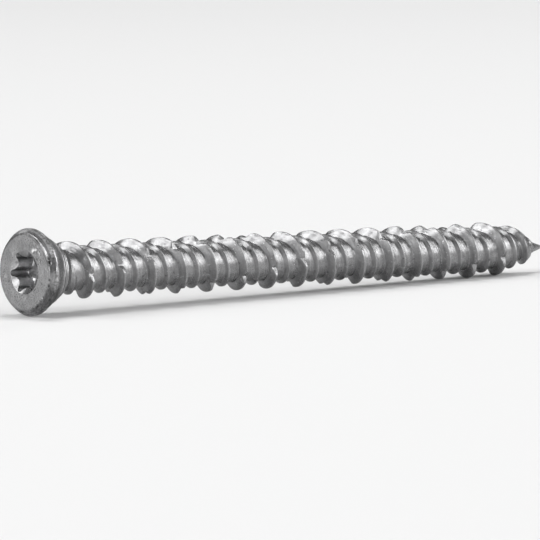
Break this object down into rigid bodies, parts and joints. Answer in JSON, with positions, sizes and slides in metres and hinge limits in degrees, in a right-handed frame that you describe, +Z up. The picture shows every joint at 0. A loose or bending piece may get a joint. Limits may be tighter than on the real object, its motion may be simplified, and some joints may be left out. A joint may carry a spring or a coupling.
{
  "type": "concrete screw",
  "caption": "Long zinc-coated steel screw for concrete and masonry, with a flat countersunk head, a six-lobe drive and a notched high-low thread that runs down to a short point.",
  "frame": {"origin": "middle of the bounding box, on the surface that the screw lies on", "axes": "+X along the screw from the head to the point, seen from above, +Z up; the axis dips 1.5 degrees towards the point because the head is wider than the thread"},
  "size_m": [0.0922, 0.0116, 0.0115],
  "materials": {
    "zinc_steel": "matt zinc coating"
  },
  "bodies": {
    "root": {"screw": "zinc_steel"}
  },
  "joints": []
}
